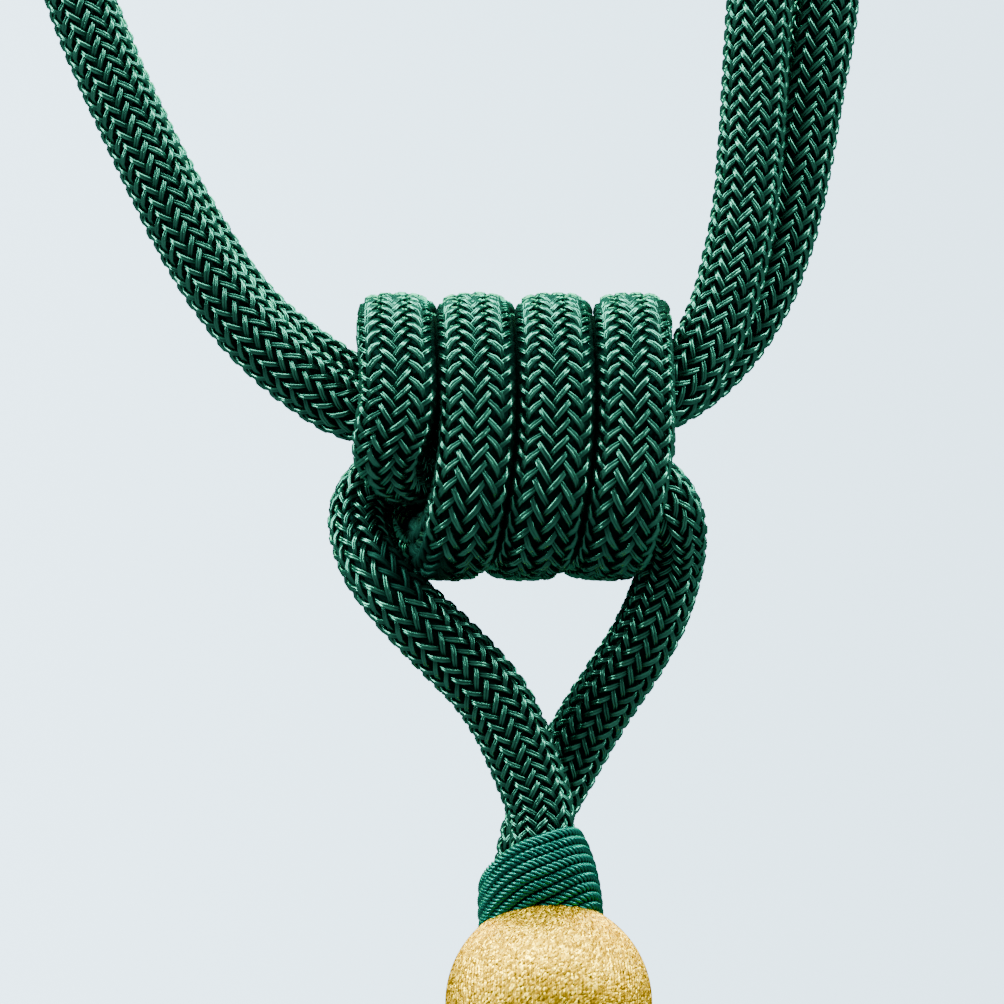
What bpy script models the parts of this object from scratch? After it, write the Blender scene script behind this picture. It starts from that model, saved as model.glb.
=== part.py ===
"""Curtain tieback tassel: a doubled cord ring, a knotted tassel cord, a bound neck, a ball and a skirt.

The ring of braided cord lies doubled and its two ends hang on one wall hook. The tassel's cord is
tied round the doubled ring in a barrel knot of four wraps, and its two ends cross and go down into
a bound neck, above a thread-covered ball and a cut yarn skirt.
+Z is up, -Y is the front, and the origin is on the axis of the hook that the two bights hang on.
Every size below is in millimetres, and MM turns it into metres.
"""

import math

import bmesh
import bpy
import numpy as np
from mathutils import Vector

MM = 0.001
GAP = 0.3  # what neighbouring solids keep between them

# The knot's centre seen from the hook's axis, which is the origin.
KNOT = np.array([5.0, 0.0, -220.0])

# Braided cord: its radius in each stretch.
ARM_RADIUS = 5.5  # pulled straight on its way to the hook
WRAP_RADIUS = 5.75  # in the knot's wraps
CORE_RADIUS = 5.3  # squeezed inside the wraps
LEFT_LEG_RADIUS = 6.0
RIGHT_LEG_RADIUS = 5.6
NECK_RADIUS = 5.3  # squeezed in the binding
CORD_BEVEL_STEPS = 3  # gives ten sides
LONGEST_STEP = 17.0  # between two sections of a cord, where it is straight
LARGEST_TURN = math.radians(22.0)  # between two sections, where it bends

# The knot: four strands in a square, two over two, with the wraps round them.
CORE_OFFSET = 5.6  # from the knot's axis to a strand, across and up
WRAP_CORNER = 11.7  # bend radius of a wrap's centreline round a corner of the core
WRAP_PITCH = 12.5
FIRST_TOP = 18.6  # where the rightmost wrap crosses the top
WRAP_LEAN_FRONT = 2.6  # how far a wrap swings right as it comes down the front
WRAP_LEAN_BACK = 2.8  # how far it swings left as it goes up the back
WRAP_LEAN_BELOW = 1.4  # how far it stays right where it passes below
FIRST_TURN, LAST_TURN = -0.2, 3.2  # wraps run from the right end's back to the left end's front
SECTIONS_PER_TURN = 20

# The hook's bights.
BIGHT_RADIUS = 11.0  # of the cord's centreline round the hook
BIGHT_DEPTH = 6.0  # the left arm's bight hangs this far in front, the right arm's as far behind
LEFT_BIGHT_HEADING = math.radians(37.0)  # the way each arm reaches the hook, from level, going right
RIGHT_BIGHT_HEADING = math.radians(123.0)

# Doubled arms, from the knot up to the hook, measured from the knot's centre: x, y, z.
LEFT_FRONT = [
    (-14.0, -5.6, 5.6), (-20.0, -5.5, 4.7), (-25.6, -5.4, 4.6), (-31.4, -5.4, 7.5),
    (-41.6, -5.4, 16.2), (-50.2, -5.5, 28.0), (-56.8, -5.6, 40.6), (-63.0, -5.6, 53.9),
    (-69.6, -5.7, 69.9), (-75.8, -6.1, 95.2), (-77.1, -6.5, 121.9), (-68.7, -6.6, 149.1),
    (-50.5, -6.4, 174.2), (-27.0, -6.0, 193.8),
]
LEFT_BACK = [
    (-14.0, 5.6, 5.6), (-21.0, 5.7, 5.7), (-28.2, 5.8, 9.0), (-33.6, 5.8, 12.6),
    (-40.6, 5.8, 18.1), (-46.6, 5.8, 25.1), (-53.1, 5.9, 35.2), (-61.8, 5.9, 51.4),
    (-69.6, 5.8, 69.9), (-78.2, 5.1, 94.8), (-82.9, 3.5, 122.1), (-77.3, 0.6, 152.9),
    (-59.5, -2.6, 181.8), (-37.0, -5.4, 206.2),
]
RIGHT_FRONT = [
    (12.0, -5.6, 5.6), (18.6, -5.5, 5.4), (24.6, -5.4, 7.2), (30.1, -5.2, 14.3),
    (33.8, -4.6, 23.5), (36.7, -3.9, 37.9), (38.0, -2.7, 53.9), (39.0, -2.0, 69.9),
    (40.4, -0.3, 97.0), (37.7, 2.0, 124.8), (28.5, 4.1, 153.5), (12.9, 5.5, 180.3),
    (-1.6, 5.9, 198.1),
]
RIGHT_BACK = [
    (12.0, 5.6, 5.6), (20.0, 5.8, 5.5), (27.4, 6.0, 8.5), (34.2, 6.0, 14.9),
    (40.0, 5.6, 24.4), (44.6, 5.1, 39.4), (47.4, 4.3, 55.0), (49.8, 3.6, 69.9),
    (51.6, 3.9, 97.0), (49.3, 4.5, 127.2), (39.5, 5.1, 158.5), (25.1, 5.7, 187.7),
    (13.6, 6.0, 207.9),
]

# The tassel cord outside its wraps: x, y, z, radius.
LEFT_LEG = [  # from its end in the neck up into the knot, where it runs to the right
    (4.2, -4.7, -69.0, NECK_RADIUS), (4.1, -3.4, -64.5, NECK_RADIUS),
    (4.0, -2.6, -60.5, 5.5), (2.4, -2.2, -54.9, 5.7), (-0.1, -2.5, -48.5, 5.9),
    (-3.5, -3.0, -42.1, LEFT_LEG_RADIUS), (-9.0, -3.8, -35.6, LEFT_LEG_RADIUS),
    (-15.5, -4.6, -29.2, 5.8), (-21.3, -3.5, -22.9, 5.4), (-24.4, 1.0, -17.0, 5.4),
    (-24.8, 4.2, -11.9, 5.4), (-22.4, 5.3, -7.9, 5.4),
    (-18.0, 5.6, -5.9, CORE_RADIUS), (-12.0, 5.6, -5.6, CORE_RADIUS),
    (0.0, 5.6, -5.6, CORE_RADIUS), (9.5, 5.6, -5.6, CORE_RADIUS),
    (14.2, 6.8, -5.5, CORE_RADIUS), (17.6, 10.2, -4.8, CORE_RADIUS), (19.7, 14.4, -2.3, 5.5),
    (19.8, 17.2, 2.2, WRAP_RADIUS),
]
RIGHT_LEG = [  # from the last wrap through the knot and down to its end in the neck
    (-19.3, -17.2, 2.2, WRAP_RADIUS), (-19.8, -15.7, -1.7, 5.6), (-18.9, -12.6, -4.6, 5.4),
    (-16.3, -9.3, -5.7, CORE_RADIUS), (-12.6, -6.9, -5.8, CORE_RADIUS),
    (-8.0, -5.7, -5.6, CORE_RADIUS), (2.0, -5.6, -5.6, CORE_RADIUS),
    (12.0, -5.6, -5.6, CORE_RADIUS), (17.8, -5.5, -6.0, CORE_RADIUS),
    (22.2, -5.0, -8.4, 5.3), (24.9, -3.6, -12.6, 5.3),
    (25.4, -0.5, -17.6, 5.3), (24.0, 1.4, -23.6, 5.5), (21.6, 2.4, -29.9, RIGHT_LEG_RADIUS),
    (18.2, 3.9, -36.0, RIGHT_LEG_RADIUS),
    (14.2, 6.0, -42.1, RIGHT_LEG_RADIUS), (10.4, 8.2, -48.5, RIGHT_LEG_RADIUS),
    (6.9, 9.4, -54.9, RIGHT_LEG_RADIUS), (3.9, 9.4, -60.8, 5.5),
    (2.0, 8.2, -66.6, NECK_RADIUS), (1.4, 6.3, -72.2, NECK_RADIUS),
]

# The head: a ball whose axis leans back, with the bound neck on it.
BALL_CENTRE = KNOT + [5.2, -5.2, -90.2]
BALL_RADIUS = 16.5
HEAD_AXIS = Vector((-0.055, 0.29, 0.955)).normalized()  # from the ball up through the neck
BALL_SEGMENTS, BALL_RINGS = 28, 14
NECK_BOTTOM = 12.0  # above the ball's centre, inside its surface
NECK_TOP = 26.5
NECK_TOP_TILT = 2.4  # the last round of binding lies this much higher at the right
NECK_SEGMENTS = 32
# Half widths of the neck, side to side and front to back, from its foot to its top.
NECK_SECTIONS = [  # share of the height, side, depth
    (0.0, 10.1, 10.6), (0.3, 10.1, 11.5), (0.5, 9.8, 12.1), (0.7, 9.3, 12.4),
    (0.88, 8.5, 12.5), (1.0, 7.7, 12.3),
]
NECK_SQUARENESS = 2.4  # 2 would be a plain oval

# The skirt: cut yarn in locks, hung from a collar cupped under the ball.
COLLAR_RADIUS = 9.5
COLLAR_FOOT = 18.8  # below the ball's centre
LOCKS_ACROSS = 11
LOCK_INSET = 0.12  # from a lock's root to its cell's edge
SKIRT_LENGTH = 90.0
SKIRT_STAGES = [(0.12, 1.12), (0.5, 1.4), (1.0, 1.62)]  # share of the length, share of the width
LOCK_UNEVENNESS = 1.6  # how much the locks' ends differ in height
CUTTER_SEGMENTS = 48
ROOM_STEPS = 6  # gives a cord's cutter sixteen sides
NECK_SAMPLES = 100  # of the tassel cord's fine curve, enough to reach above the neck


def clear_scene():
    """Removes every object, so that the model starts from nothing."""
    for thing in list(bpy.data.objects):
        bpy.data.objects.remove(thing, do_unlink=True)


def new_collection(name):
    """A collection of that name in the scene."""
    made = bpy.data.collections.new(name)
    bpy.context.scene.collection.children.link(made)
    return made


def material(name, colour, roughness, metallic=0.0):
    """A Principled material with one colour, given as linear red, green and blue."""
    made = bpy.data.materials.new(name)
    made.use_nodes = True
    shader = made.node_tree.nodes["Principled BSDF"]
    shader.inputs["Base Color"].default_value = (*colour, 1.0)
    shader.inputs["Roughness"].default_value = roughness
    shader.inputs["Metallic"].default_value = metallic
    return made


def smooth_curve(route, closed=False, samples=24):
    """A cubic spline through the route's points, with `samples` steps to a span.

    Each span is a cubic in a parameter that grows with the root of the span's length. The second
    derivatives at the points come from the equations that keep the slope continuous.
    """
    points = np.asarray(route, float)
    if closed:
        points = np.vstack([points, points[:1]])
    width = np.sqrt(np.linalg.norm(np.diff(points[:, :3], axis=0), axis=1))
    slope = np.diff(points, axis=0) / width[:, None]
    count = len(points)
    inner = np.arange(1, count - 1)
    system = np.zeros((count, count))
    system[inner, inner - 1] = width[:-1]
    system[inner, inner] = 2 * (width[:-1] + width[1:])
    system[inner, inner + 1] = width[1:]
    right = np.zeros_like(points)
    right[inner] = 6 * np.diff(slope, axis=0)
    system[0, 0] = 1.0
    if closed:
        system[0, -1] = -1.0
        system[-1, [0, 1, -2, -1]] = 2 * width[0], width[0], width[-1], 2 * width[-1]
        right[-1] = 6 * (slope[0] - slope[-1])
    else:
        system[-1, -1] = 1.0
    bend = np.linalg.solve(system, right)
    share = np.linspace(0.0, 1.0, samples, endpoint=False)[None, :, None]
    h = width[:, None, None]
    start, end = points[:-1, None], points[1:, None]
    cubic_start = ((1 - share) ** 3 - (1 - share)) * bend[:-1, None]
    cubic_end = (share ** 3 - share) * bend[1:, None]
    curve = start * (1 - share) + end * share + (cubic_start + cubic_end) * h ** 2 / 6
    return np.vstack([curve.reshape(-1, points.shape[1]), points[-1:]])


def sections(curve):
    """Points along a fine curve, closer together where it bends, for a cord's cross sections."""
    step = np.diff(curve[:, :3], axis=0)
    length = np.linalg.norm(step, axis=1)
    heading = step / length[:, None]
    turn = np.arccos(np.clip((heading[:-1] * heading[1:]).sum(1), -1.0, 1.0))
    turn = np.concatenate([[0.0], turn])
    reach = np.concatenate([[0.0], np.cumsum(length / LONGEST_STEP + turn / LARGEST_TURN)])
    wanted = np.linspace(0.0, reach[-1], math.ceil(reach[-1]) + 1)
    columns = [np.interp(wanted, reach, curve[:, i]) for i in range(curve.shape[1])]
    return np.column_stack(columns)


def around_core(turns):
    """Depth and height of a wrap's centreline after some turns, from its top over the front.

    The path is a square with round corners, each centred on a strand of the core. A quarter turn
    runs from the middle of one side to the middle of the next: a straight, an arc and a straight.
    """
    arc = WRAP_CORNER * math.pi / 2
    quarter = np.floor(turns * 4)
    along = (turns * 4 - quarter) * (2 * CORE_OFFSET + arc)
    angle = np.clip((along - CORE_OFFSET) / WRAP_CORNER, 0.0, math.pi / 2)
    forward = np.minimum(along, CORE_OFFSET) + WRAP_CORNER * np.sin(angle)
    outward = CORE_OFFSET + WRAP_CORNER * np.cos(angle) - np.maximum(along - CORE_OFFSET - arc, 0)
    facing = quarter * math.pi / 2
    depth = -np.sin(facing) * outward - np.cos(facing) * forward
    height = np.cos(facing) * outward - np.sin(facing) * forward
    return depth, height


def wraps():
    """The barrel knot's wraps: round the core, moving left by one pitch a turn, leaning as they go."""
    count = round((LAST_TURN - FIRST_TURN) * SECTIONS_PER_TURN) + 1
    turns = np.linspace(FIRST_TURN, LAST_TURN, count)
    in_front = np.mod(turns, 1.0) < 0.5
    lean = np.where(in_front, WRAP_LEAN_FRONT, -WRAP_LEAN_BACK) * np.sin(2 * np.pi * turns) ** 2
    across = FIRST_TOP - WRAP_PITCH * turns + lean
    across = across + WRAP_LEAN_BELOW * np.sin(np.pi * turns) ** 2
    depth, height = around_core(turns)
    return np.column_stack([across, depth, height, np.full(count, WRAP_RADIUS)])


def bight(heading, depth):
    """Half a turn of cord round the hook, from the lower strand of an arm to its upper one."""
    sense = 1.0 if heading < math.pi / 2 else -1.0
    angles = heading + sense * np.radians(np.linspace(-90.0, 90.0, 7))
    x = BIGHT_RADIUS * np.cos(angles)
    z = BIGHT_RADIUS * np.sin(angles)
    return np.column_stack([x, np.full(len(x), depth), z]) - KNOT


def embrace_route():
    """The closed ring: left front strand up, round the hook, back down, and the same at the right."""
    strands = [
        np.array(LEFT_FRONT),
        bight(LEFT_BIGHT_HEADING, -BIGHT_DEPTH),
        np.array(LEFT_BACK[::-1]),
        np.array(RIGHT_BACK),
        bight(RIGHT_BIGHT_HEADING, BIGHT_DEPTH)[::-1],
        np.array(RIGHT_FRONT[::-1]),
    ]
    points = np.vstack(strands)
    inside = np.clip((26.0 - np.abs(points[:, 0])) / 8.0, 0.0, 1.0) * (points[:, 2] < 10.0)
    radius = ARM_RADIUS - (ARM_RADIUS - CORE_RADIUS) * inside
    return np.column_stack([points, radius])


def cord(name, curve, closed, look, collection, steps=CORD_BEVEL_STEPS):
    """A cord as a round tube along the curve, whose fourth column is its radius."""
    points = sections(curve)
    if closed:
        points = points[:-1]
    data = bpy.data.curves.new(name, "CURVE")
    data.dimensions = "3D"
    data.bevel_depth = MM
    data.bevel_resolution = steps
    data.use_fill_caps = True
    spline = data.splines.new("POLY")
    spline.points.add(len(points) - 1)
    places = (points[:, :3] + KNOT) * MM
    spline.points.foreach_set("co", np.column_stack([places, np.ones(len(places))]).ravel())
    spline.points.foreach_set("radius", points[:, 3])
    spline.use_cyclic_u = closed
    made = bpy.data.objects.new(name, data)
    made.data.materials.append(look)
    collection.objects.link(made)
    return made


def as_mesh(thing):
    """The same object with its curve made a closed mesh, so that a Boolean can use it."""
    bpy.context.view_layer.update()
    evaluated = thing.evaluated_get(bpy.context.evaluated_depsgraph_get())
    mesh = bpy.data.meshes.new_from_object(evaluated)
    shape = bmesh.new()
    shape.from_mesh(mesh)
    bmesh.ops.remove_doubles(shape, verts=shape.verts, dist=1e-6)
    shape.to_mesh(mesh)
    shape.free()
    made = bpy.data.objects.new(thing.name + "_shape", mesh)
    made.matrix_world = thing.matrix_world
    thing.users_collection[0].objects.link(made)
    bpy.data.objects.remove(thing, do_unlink=True)
    return made


def cut(thing, cutter):
    """Takes the cutter's shape out of the thing, and hides the cutter from renders."""
    cutter.hide_render = True
    cutter.display_type = "WIRE"
    hole = thing.modifiers.new("cut " + cutter.name, "BOOLEAN")
    hole.operation = "DIFFERENCE"
    hole.solver = "EXACT"
    hole.object = cutter


def room_round(curve):
    """The curve of a cutter that leaves GAP round a cord, at its sides' flats and past its ends."""
    sides = 2 * (ROOM_STEPS + 2)
    room = curve.copy()
    room[:, 3] = (curve[:, 3] + GAP) / math.cos(math.pi / sides)
    for end, inner in ((0, 1), (-1, -2)):
        outward = curve[end, :3] - curve[inner, :3]
        room[end, :3] += outward / np.linalg.norm(outward) * GAP
    return room


def ball(name, radius, segments, rings, look, collection):
    """A round ball at the head's place, turned so that its poles lie on the head's axis."""
    shape = bmesh.new()
    bmesh.ops.create_uvsphere(shape, u_segments=segments, v_segments=rings, radius=radius * MM)
    mesh = bpy.data.meshes.new(name)
    shape.to_mesh(mesh)
    shape.free()
    mesh.shade_smooth()
    mesh.materials.append(look)
    made = bpy.data.objects.new(name, mesh)
    made.location = Vector(BALL_CENTRE * MM)
    made.rotation_mode = "QUATERNION"
    made.rotation_quaternion = HEAD_AXIS.to_track_quat("Z", "Y")
    collection.objects.link(made)
    return made


def rounded(wave):
    """A sine or cosine bent so that the oval it draws is a little squarer."""
    return np.sign(wave) * np.abs(wave) ** (2 / NECK_SQUARENESS)


def neck_binding(look, collection):
    """The bound neck: a loft from a round foot on the ball to an oval top round the two cord ends."""
    side = Vector((1.0, 0.0, 0.0)) - HEAD_AXIS * HEAD_AXIS.x
    side.normalize()
    back = HEAD_AXIS.cross(side)
    angles = np.linspace(0.0, 2 * math.pi, NECK_SEGMENTS, endpoint=False)
    shape = bmesh.new()
    rings = []
    for share, half_side, half_depth in NECK_SECTIONS:
        across = half_side * rounded(np.cos(angles))
        away = half_depth * rounded(np.sin(angles))
        top = NECK_TOP + NECK_TOP_TILT * np.cos(angles)
        up = NECK_BOTTOM + share * (top - NECK_BOTTOM)
        places = np.outer(across, side) + np.outer(away, back) + np.outer(up, HEAD_AXIS)
        rings.append([shape.verts.new(place) for place in (places + BALL_CENTRE) * MM])
    for lower, upper in zip(rings, rings[1:]):
        for i in range(NECK_SEGMENTS):
            j = (i + 1) % NECK_SEGMENTS
            shape.faces.new((lower[i], lower[j], upper[j], upper[i]))
    shape.faces.new(rings[0][::-1])
    shape.faces.new(rings[-1])
    bmesh.ops.recalc_face_normals(shape, faces=shape.faces)
    mesh = bpy.data.meshes.new("neck_binding")
    shape.to_mesh(mesh)
    shape.free()
    mesh.shade_smooth()
    mesh.materials.append(look)
    made = bpy.data.objects.new("neck_binding", mesh)
    collection.objects.link(made)
    return made


def square_to_disc(place):
    """A point of the square from -1 to 1, moved so that the square's edge becomes a circle."""
    x, y = place.x, place.y
    return x * math.sqrt(1 - y * y / 2), y * math.sqrt(1 - x * x / 2)


def skirt(look, collection):
    """Locks of yarn extruded from the cells of a disc, which is the collar cupped under the ball."""
    shape = bmesh.new()
    cells = LOCKS_ACROSS
    bmesh.ops.create_grid(shape, x_segments=cells, y_segments=cells, size=1.0)
    for vert in shape.verts:
        x, y = square_to_disc(vert.co)
        vert.co = (COLLAR_RADIUS * x, COLLAR_RADIUS * y, -COLLAR_FOOT)
    lower = shape.faces[:]
    lifted = bmesh.ops.extrude_face_region(shape, geom=lower, use_keep_orig=True)["geom"]
    seat = BALL_RADIUS + GAP
    for vert in (item for item in lifted if isinstance(item, bmesh.types.BMVert)):
        vert.co.z = -math.sqrt(seat ** 2 - vert.co.x ** 2 - vert.co.y ** 2)
    bmesh.ops.inset_individual(shape, faces=lower, thickness=LOCK_INSET, depth=0.0)
    locks = lower
    width = 1.0
    for share, wider in SKIRT_STAGES:
        locks = bmesh.ops.extrude_discrete_faces(shape, faces=locks)["faces"]
        for lock in locks:
            middle = lock.calc_center_median() / width
            uneven = LOCK_UNEVENNESS * math.sin(2.3 * middle.x) * math.cos(1.9 * middle.y + middle.x)
            for vert in lock.verts:
                vert.co.x *= wider / width
                vert.co.y *= wider / width
                vert.co.z = -COLLAR_FOOT - share * (SKIRT_LENGTH + uneven)
        width = wider
    for vert in shape.verts:
        vert.co = (vert.co + Vector(BALL_CENTRE)) * MM
    bmesh.ops.recalc_face_normals(shape, faces=shape.faces)
    mesh = bpy.data.meshes.new("skirt")
    shape.to_mesh(mesh)
    shape.free()
    mesh.materials.append(look)
    made = bpy.data.objects.new("skirt", mesh)
    collection.objects.link(made)
    return made


def main():
    """Builds the tieback."""
    clear_scene()
    parts = new_collection("curtain_tieback_tassel")
    cutters = new_collection("cutters")
    green_cord = material("Braided green rayon cord", (0.007, 0.115, 0.062), 0.45)
    tassel_green = material("Braided green rayon cord of the tassel", (0.007, 0.115, 0.062), 0.45)
    binding_green = material("Twisted green binding thread", (0.010, 0.150, 0.085), 0.40)
    gold = material("Gold metallic thread", (0.69, 0.48, 0.07), 0.38, 0.6)
    yarn = material("Green rayon skirt yarn", (0.008, 0.125, 0.068), 0.50)

    ring = smooth_curve(embrace_route(), closed=True)
    tassel = smooth_curve(np.vstack([LEFT_LEG, wraps(), RIGHT_LEG]))
    cord("embrace_cord", ring, True, green_cord, parts)
    cord("tassel_cord", tassel, False, tassel_green, parts)
    ball("ball_head", BALL_RADIUS, BALL_SEGMENTS, BALL_RINGS, gold, parts)
    binding = neck_binding(binding_green, parts)
    skirt(yarn, parts)

    room_for_ball = ball("ball_room", BALL_RADIUS + GAP, CUTTER_SEGMENTS, 24, gold, cutters)
    cut(binding, room_for_ball)
    for name, end in (("left", tassel[:NECK_SAMPLES]), ("right", tassel[-NECK_SAMPLES:])):
        room = room_round(end)
        cut(binding, as_mesh(cord(name + "_end_room", room, False, green_cord, cutters, ROOM_STEPS)))


main()
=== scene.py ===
# %% [markdown]
# # A curtain tieback with a tassel
# A tieback gathers a curtain and hangs on a hook in the wall. This one has two lengths of thick
# braided rayon cord. The first is a closed ring that lies doubled, with both ends on the hook.
# The second is tied round the ring in a barrel knot, and its two ends carry the tassel: a neck
# bound with twisted thread, a ball covered with gold thread and a skirt of cut yarn.
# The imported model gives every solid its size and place, and this script gives them their looks.

import bpy
import numpy as np
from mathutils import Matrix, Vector


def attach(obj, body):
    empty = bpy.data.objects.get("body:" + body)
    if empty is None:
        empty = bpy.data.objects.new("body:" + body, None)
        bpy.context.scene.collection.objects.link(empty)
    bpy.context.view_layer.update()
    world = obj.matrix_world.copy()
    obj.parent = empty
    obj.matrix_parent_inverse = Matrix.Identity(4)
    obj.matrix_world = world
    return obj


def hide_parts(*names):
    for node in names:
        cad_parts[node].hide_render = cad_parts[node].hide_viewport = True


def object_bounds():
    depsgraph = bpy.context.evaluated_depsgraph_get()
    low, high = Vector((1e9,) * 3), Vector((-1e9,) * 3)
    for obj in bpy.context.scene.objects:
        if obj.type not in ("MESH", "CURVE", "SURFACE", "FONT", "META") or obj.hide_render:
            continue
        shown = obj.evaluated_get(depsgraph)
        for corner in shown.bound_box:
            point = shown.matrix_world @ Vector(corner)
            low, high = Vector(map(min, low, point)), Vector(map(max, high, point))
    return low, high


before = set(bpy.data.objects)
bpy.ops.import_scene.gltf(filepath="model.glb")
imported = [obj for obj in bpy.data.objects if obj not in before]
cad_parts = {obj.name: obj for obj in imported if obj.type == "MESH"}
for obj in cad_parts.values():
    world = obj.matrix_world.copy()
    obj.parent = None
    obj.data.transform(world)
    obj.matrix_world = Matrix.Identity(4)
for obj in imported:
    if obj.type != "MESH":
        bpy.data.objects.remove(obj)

cad_low, cad_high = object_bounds()
print("solids:", sorted(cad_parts))

# %% [markdown]
# ## Camera
# The photograph looks straight at the knot from the front. Its ropes show hardly any perspective,
# so it was taken with a long lens from far away. The knot's centre is the natural place to measure
# from: it hangs 220 mm below the hook, which is the origin. One pixel of the picture is 0.16 mm at
# the knot's depth, because the cord, 69 pixels wide, is 11 mm thick.

# %% Camera
MM = 0.001
KNOT = MM * np.array([5.0, 0.0, -220.0])
PICTURE = 1004  # pixels, each way
PIXEL = 0.16 * MM
CAMERA_DISTANCE = 1.1  # metres
AIM = KNOT + MM * np.array([-2.24, 0.0, -10.4])  # what lies at the picture's middle

camera_data = bpy.data.cameras.new("camera")
camera_data.sensor_width = 36.0
camera_data.lens = camera_data.sensor_width * CAMERA_DISTANCE / (PICTURE * PIXEL)
camera = bpy.data.objects.new("camera", camera_data)
camera.location = (AIM[0], -CAMERA_DISTANCE, AIM[2])
camera.rotation_euler = (np.pi / 2, 0.0, 0.0)
bpy.context.scene.collection.objects.link(camera)
bpy.context.scene.camera = camera
print(f"lens: {camera_data.lens:.0f} mm")

# %% [markdown]
# ## The cords' routes
# A knotted cord is easiest to describe by the line through its middle. The routes here are the
# same points that the solids follow, measured from the knot's centre. A cubic spline
# goes through them, so that the cord bends as smoothly as a real one.

# %% Ring: both arms, from the knot up to the hook
ARM_RADIUS = 5.5 * MM
LEFT_FRONT = MM * np.array([
    (-14.0, -5.6, 5.6), (-20.0, -5.5, 4.7), (-25.6, -5.4, 4.6), (-31.4, -5.4, 7.5),
    (-41.6, -5.4, 16.2), (-50.2, -5.5, 28.0), (-56.8, -5.6, 40.6), (-63.0, -5.6, 53.9),
    (-69.6, -5.7, 69.9), (-75.8, -6.1, 95.2), (-77.1, -6.5, 121.9), (-68.7, -6.6, 149.1),
    (-50.5, -6.4, 174.2), (-27.0, -6.0, 193.8),
])
LEFT_BACK = MM * np.array([
    (-14.0, 5.6, 5.6), (-21.0, 5.7, 5.7), (-28.2, 5.8, 9.0), (-33.6, 5.8, 12.6),
    (-40.6, 5.8, 18.1), (-46.6, 5.8, 25.1), (-53.1, 5.9, 35.2), (-61.8, 5.9, 51.4),
    (-69.6, 5.8, 69.9), (-78.2, 5.1, 94.8), (-82.9, 3.5, 122.1), (-77.3, 0.6, 152.9),
    (-59.5, -2.6, 181.8), (-37.0, -5.4, 206.2),
])
RIGHT_FRONT = MM * np.array([
    (12.0, -5.6, 5.6), (18.6, -5.5, 5.4), (24.6, -5.4, 7.2), (30.1, -5.2, 14.3),
    (33.8, -4.6, 23.5), (36.7, -3.9, 37.9), (38.0, -2.7, 53.9), (39.0, -2.0, 69.9),
    (40.4, -0.3, 97.0), (37.7, 2.0, 124.8), (28.5, 4.1, 153.5), (12.9, 5.5, 180.3),
    (-1.6, 5.9, 198.1),
])
RIGHT_BACK = MM * np.array([
    (12.0, 5.6, 5.6), (20.0, 5.8, 5.5), (27.4, 6.0, 8.5), (34.2, 6.0, 14.9),
    (40.0, 5.6, 24.4), (44.6, 5.1, 39.4), (47.4, 4.3, 55.0), (49.8, 3.6, 69.9),
    (51.6, 3.9, 97.0), (49.3, 4.5, 127.2), (39.5, 5.1, 158.5), (25.1, 5.7, 187.7),
    (13.6, 6.0, 207.9),
])
BIGHT_RADIUS = 11.0 * MM  # of the cord's middle round the hook
BIGHT_DEPTH = 6.0 * MM  # the left arm hangs this far in front of the hook's middle, the right behind
BIGHT_POINTS = 7
LEFT_HEADING, RIGHT_HEADING = 37.0, 123.0  # the way an arm comes in, in degrees up from the right


def bight(heading, depth):
    """Half a circle round the hook, starting square to the way the arm comes in."""
    sense = 1.0 if heading < 90 else -1.0
    angle = np.radians(heading + sense * np.linspace(-90.0, 90.0, BIGHT_POINTS))
    depths = np.full(BIGHT_POINTS, depth)
    return np.column_stack([BIGHT_RADIUS * np.cos(angle), depths, BIGHT_RADIUS * np.sin(angle)]) - KNOT


FRONT_STRAND = MM * np.array([[0.0, -5.6, 5.6]])  # half-way through the knot
BACK_STRAND = MM * np.array([[0.0, 5.6, 5.6]])
left_arm_route = np.vstack([
    FRONT_STRAND, LEFT_FRONT, bight(LEFT_HEADING, -BIGHT_DEPTH), LEFT_BACK[::-1], BACK_STRAND])
right_arm_route = np.vstack([
    FRONT_STRAND, RIGHT_FRONT, bight(RIGHT_HEADING, BIGHT_DEPTH), RIGHT_BACK[::-1], BACK_STRAND])
print("points in the arms:", len(left_arm_route), len(right_arm_route))

# %% Tassel cord: the legs, with each point's radius in the fourth column
LEFT_LEG = MM * np.array([
    (4.2, -4.7, -69.0, 5.3), (4.1, -3.4, -64.5, 5.3),
    (4.0, -2.6, -60.5, 5.5), (2.4, -2.2, -54.9, 5.7), (-0.1, -2.5, -48.5, 5.9),
    (-3.5, -3.0, -42.1, 6.0), (-9.0, -3.8, -35.6, 6.0),
    (-15.5, -4.6, -29.2, 5.8), (-21.3, -3.5, -22.9, 5.4), (-24.4, 1.0, -17.0, 5.4),
    (-24.8, 4.2, -11.9, 5.4), (-22.4, 5.3, -7.9, 5.4),
    (-18.0, 5.6, -5.9, 5.3), (-12.0, 5.6, -5.6, 5.3),
    (0.0, 5.6, -5.6, 5.3), (9.5, 5.6, -5.6, 5.3),
    (14.2, 6.8, -5.5, 5.3), (17.6, 10.2, -4.8, 5.3), (19.7, 14.4, -2.3, 5.5),
    (19.8, 17.2, 2.2, 5.75),
])
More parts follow.
